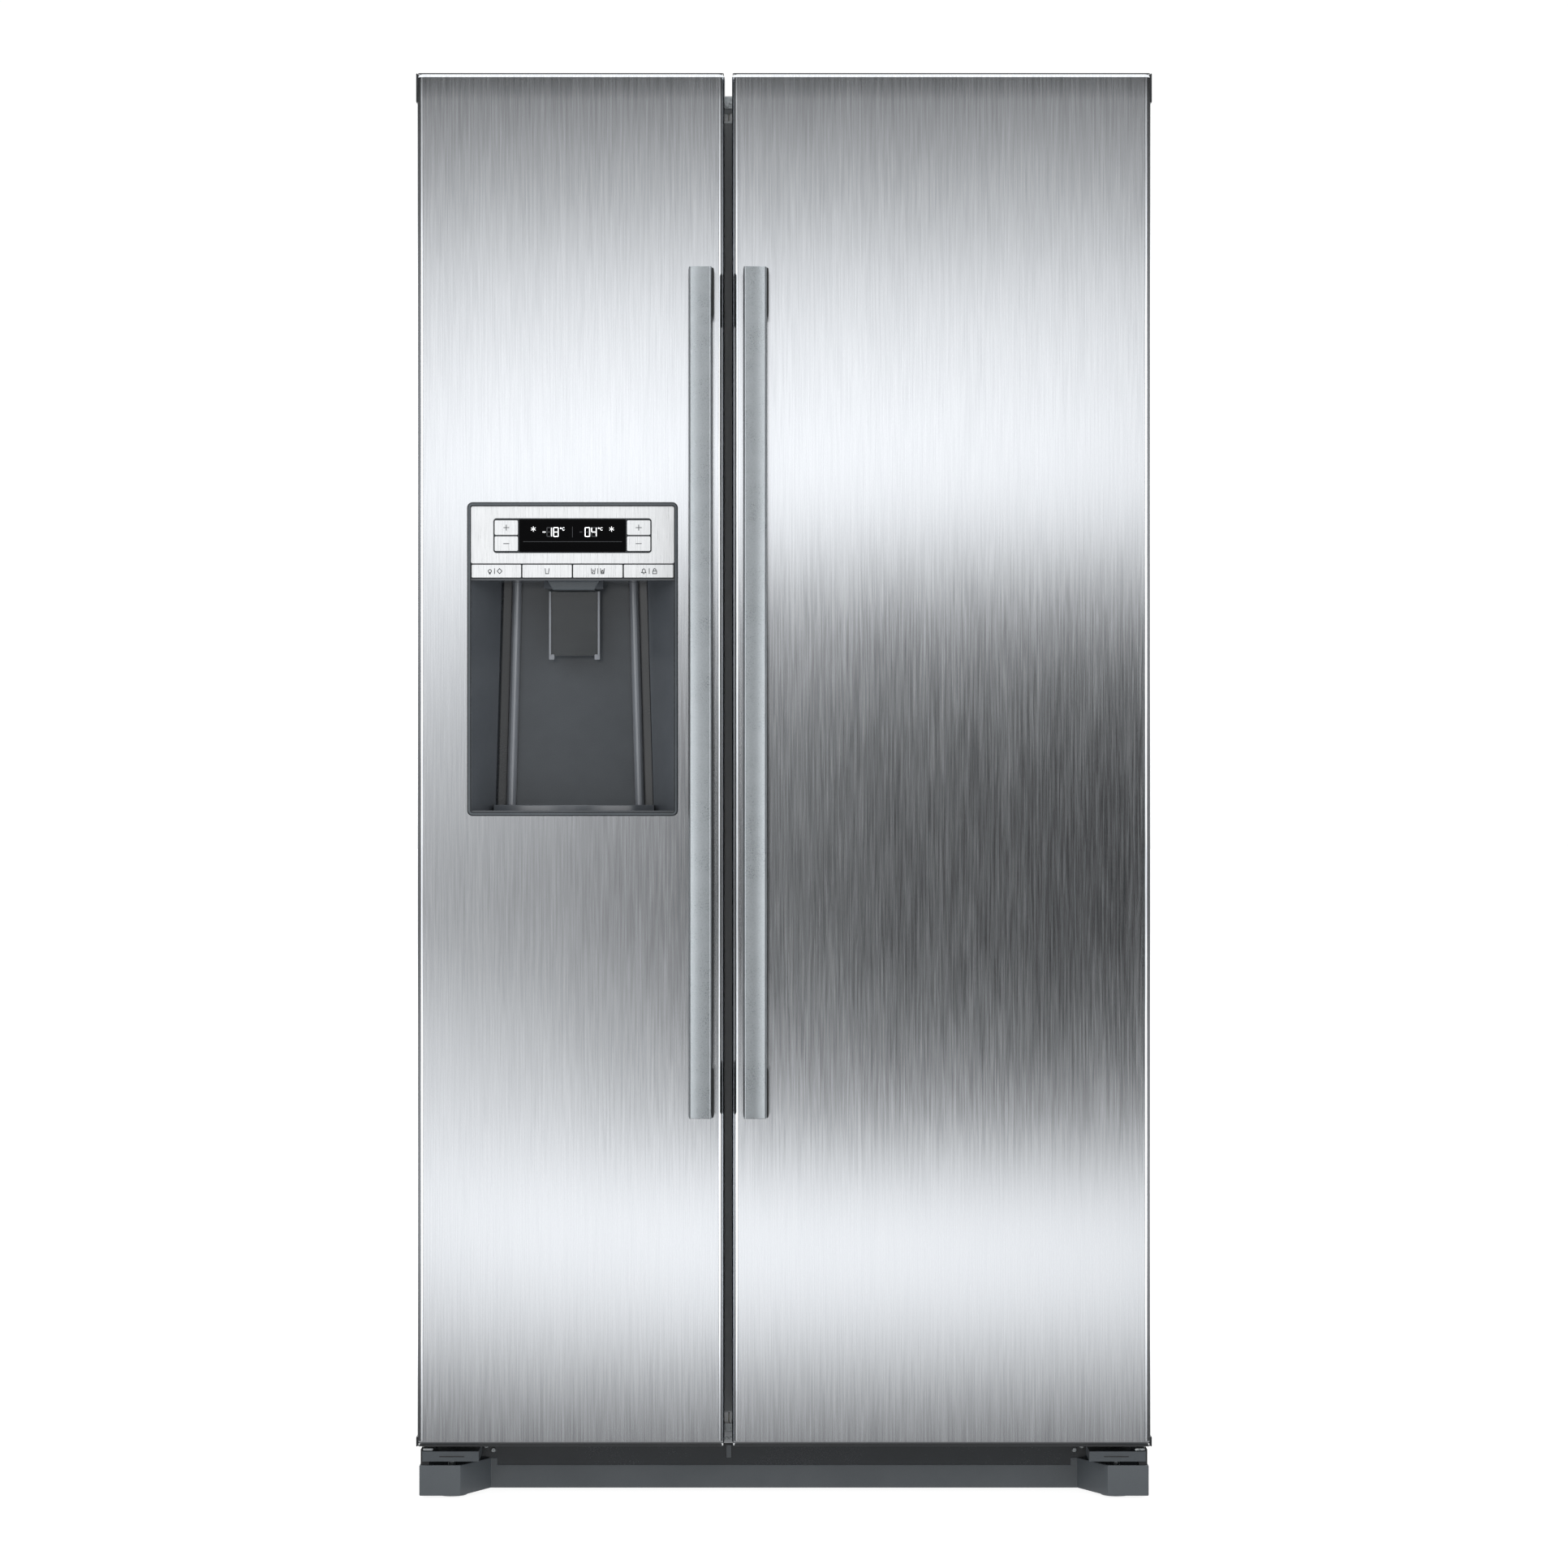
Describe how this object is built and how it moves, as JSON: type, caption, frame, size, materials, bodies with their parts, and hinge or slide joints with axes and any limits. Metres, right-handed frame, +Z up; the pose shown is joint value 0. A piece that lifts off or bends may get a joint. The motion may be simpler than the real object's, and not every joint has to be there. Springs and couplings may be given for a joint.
{
  "type": "side by side refrigerator",
  "caption": "Side-by-side refrigerator with a freezer door, a fridge door, bar handles, an ice dispenser, drawers, shelves and a rear machine compartment.",
  "frame": {"origin": "on the floor, midway across the width and midway along the whole depth, handles included", "axes": "+X to the right as seen from the front, +Y from the doors to the back, +Z up"},
  "size_m": [0.91, 0.772, 1.77],
  "materials": {
    "brushed_steel": "satin",
    "handle_aluminium": "satin",
    "case_steel": "satin",
    "zinc_steel": "satin",
    "black_metal": "satin",
    "fin_metal": "satin",
    "white_liner": "satin",
    "door_foam": "satin",
    "foam": "matte",
    "dark_plastic": "satin",
    "gasket_rubber": "matte",
    "panel_silver": "satin",
    "display_black": "polished",
    "clear_plastic": "gloss",
    "smoked_plastic": "gloss",
    "shelf_glass": "polished"
  },
  "bodies": {
    "cabinet": {"outer_case": "case_steel", "insulation": "foam", "freezer_liner": "white_liner", "fridge_liner": "white_liner", "centre_rail": "case_steel", "top_hinge_freezer": "zinc_steel", "bottom_hinge_freezer": "zinc_steel", "top_hinge_fridge": "zinc_steel", "bottom_hinge_fridge": "zinc_steel", "base_chassis": "black_metal", "kick_plate": "dark_plastic", "machine_cover": "dark_plastic", "compressor": "black_metal", "condenser": "fin_metal", "evaporator_cover": "white_liner", "evaporator": "fin_metal", "fridge_air_duct": "white_liner", "freezer_shelf_lower": "shelf_glass", "freezer_shelf_upper": "shelf_glass", "crisper_shelf": "shelf_glass", "fridge_shelf_lower": "shelf_glass", "fridge_shelf_upper": "shelf_glass", "ice_maker": "white_liner"},
    "freezer_door": {"freezer_door_skin": "brushed_steel", "freezer_door_liner": "door_foam", "freezer_door_gasket": "gasket_rubber", "freezer_handle": "handle_aluminium", "freezer_bin_lower": "clear_plastic", "freezer_bin_upper": "clear_plastic", "dispenser_housing": "dark_plastic", "control_panel": "panel_silver", "display_window": "display_black", "ice_chute": "dark_plastic"},
    "fridge_door": {"fridge_door_skin": "brushed_steel", "fridge_door_liner": "door_foam", "fridge_door_gasket": "gasket_rubber", "fridge_handle": "handle_aluminium", "bottle_bin": "clear_plastic", "dairy_box": "clear_plastic"},
    "dairy_lid": {"dairy_lid": "clear_plastic"},
    "paddle": {"dispenser_paddle": "smoked_plastic"},
    "key_freezer_minus": {"key_freezer_minus": "panel_silver"},
    "key_freezer_plus": {"key_freezer_plus": "panel_silver"},
    "key_fridge_minus": {"key_fridge_minus": "panel_silver"},
    "key_fridge_plus": {"key_fridge_plus": "panel_silver"},
    "key_light": {"key_light": "panel_silver"},
    "key_crushed_ice": {"key_crushed_ice": "panel_silver"},
    "key_ice_cubes": {"key_ice_cubes": "panel_silver"},
    "key_lock": {"key_lock": "panel_silver"},
    "freezer_drawer_lower": {"freezer_drawer_lower": "clear_plastic"},
    "freezer_drawer_upper": {"freezer_drawer_upper": "clear_plastic"},
    "crisper_lower": {"crisper_lower": "clear_plastic"},
    "crisper_upper": {"crisper_upper": "clear_plastic"},
    "ice_bucket": {"ice_bucket": "clear_plastic"},
    "condenser_fan": {"condenser_fan": "dark_plastic"},
    "evaporator_fan": {"evaporator_fan": "dark_plastic"},
    "front_foot_left": {"front_foot_left": "zinc_steel"},
    "front_foot_right": {"front_foot_right": "zinc_steel"},
    "rear_roller_left": {"rear_roller_left": "dark_plastic"},
    "rear_roller_right": {"rear_roller_right": "dark_plastic"}
  },
  "joints": [
    {"name": "freezer_door_hinge", "type": "hinge", "parent": "cabinet", "child": "freezer_door", "pos_m": [-0.441, -0.3, 0.9], "axis": [0, 0, -1], "range_deg": [0, 120]},
    {"name": "fridge_door_hinge", "type": "hinge", "parent": "cabinet", "child": "fridge_door", "pos_m": [0.441, -0.3, 0.9], "axis": [0, 0, 1], "range_deg": [0, 120]},
    {"name": "dairy_lid_hinge", "type": "hinge", "parent": "fridge_door", "child": "dairy_lid", "pos_m": [0.191, -0.2425, 1.6115], "axis": [1, 0, 0], "range_deg": [0, 85]},
    {"name": "paddle_pivot", "type": "hinge", "parent": "freezer_door", "child": "paddle", "pos_m": [-0.26215, -0.272, 1.1263], "axis": [1, 0, 0], "range_deg": [0, 15], "stiffness_Nm_per_rad": 0.05, "springref_deg": -5.73},
    {"name": "key_freezer_minus_press", "type": "slide", "parent": "freezer_door", "child": "key_freezer_minus", "axis": [0, 1, 0], "range_m": [0, 0.001], "stiffness_N_per_m": 1500, "springref_m": -0.0005},
    {"name": "key_freezer_plus_press", "type": "slide", "parent": "freezer_door", "child": "key_freezer_plus", "axis": [0, 1, 0], "range_m": [0, 0.001], "stiffness_N_per_m": 1500, "springref_m": -0.0005},
    {"name": "key_fridge_minus_press", "type": "slide", "parent": "freezer_door", "child": "key_fridge_minus", "axis": [0, 1, 0], "range_m": [0, 0.001], "stiffness_N_per_m": 1500, "springref_m": -0.0005},
    {"name": "key_fridge_plus_press", "type": "slide", "parent": "freezer_door", "child": "key_fridge_plus", "axis": [0, 1, 0], "range_m": [0, 0.001], "stiffness_N_per_m": 1500, "springref_m": -0.0005},
    {"name": "key_light_press", "type": "slide", "parent": "freezer_door", "child": "key_light", "axis": [0, 1, 0], "range_m": [0, 0.001], "stiffness_N_per_m": 1500, "springref_m": -0.0005},
    {"name": "key_crushed_ice_press", "type": "slide", "parent": "freezer_door", "child": "key_crushed_ice", "axis": [0, 1, 0], "range_m": [0, 0.001], "stiffness_N_per_m": 1500, "springref_m": -0.0005},
    {"name": "key_ice_cubes_press", "type": "slide", "parent": "freezer_door", "child": "key_ice_cubes", "axis": [0, 1, 0], "range_m": [0, 0.001], "stiffness_N_per_m": 1500, "springref_m": -0.0005},
    {"name": "key_lock_press", "type": "slide", "parent": "freezer_door", "child": "key_lock", "axis": [0, 1, 0], "range_m": [0, 0.001], "stiffness_N_per_m": 1500, "springref_m": -0.0005},
    {"name": "freezer_drawer_lower_slide", "type": "slide", "parent": "cabinet", "child": "freezer_drawer_lower", "axis": [0, -1, 0], "range_m": [0, 0.1]},
    {"name": "freezer_drawer_upper_slide", "type": "slide", "parent": "cabinet", "child": "freezer_drawer_upper", "axis": [0, -1, 0], "range_m": [0, 0.1]},
    {"name": "crisper_lower_slide", "type": "slide", "parent": "cabinet", "child": "crisper_lower", "axis": [0, -1, 0], "range_m": [0, 0.07]},
    {"name": "crisper_upper_slide", "type": "slide", "parent": "cabinet", "child": "crisper_upper", "axis": [0, -1, 0], "range_m": [0, 0.1]},
    {"name": "ice_bucket_slide", "type": "slide", "parent": "cabinet", "child": "ice_bucket", "axis": [0, -1, 0], "range_m": [0, 0.06]},
    {"name": "condenser_fan_spin", "type": "hinge", "parent": "cabinet", "child": "condenser_fan", "pos_m": [-0.04, 0.257, 0.1523], "axis": [1, 0, 0], "continuous": true},
    {"name": "evaporator_fan_spin", "type": "hinge", "parent": "cabinet", "child": "evaporator_fan", "pos_m": [-0.25213, 0.2875, 1.1703], "axis": [0, 1, 0], "continuous": true},
    {"name": "front_foot_left_screw", "type": "slide", "parent": "cabinet", "child": "front_foot_left", "axis": [0, 0, -1], "range_m": [0, 0.012]},
    {"name": "front_foot_right_screw", "type": "slide", "parent": "cabinet", "child": "front_foot_right", "axis": [0, 0, -1], "range_m": [0, 0.012]},
    {"name": "rear_roller_left_spin", "type": "hinge", "parent": "cabinet", "child": "rear_roller_left", "pos_m": [-0.4, 0.326, 0.018], "axis": [1, 0, 0], "continuous": true},
    {"name": "rear_roller_right_spin", "type": "hinge", "parent": "cabinet", "child": "rear_roller_right", "pos_m": [0.4, 0.326, 0.018], "axis": [1, 0, 0], "continuous": true}
  ]
}
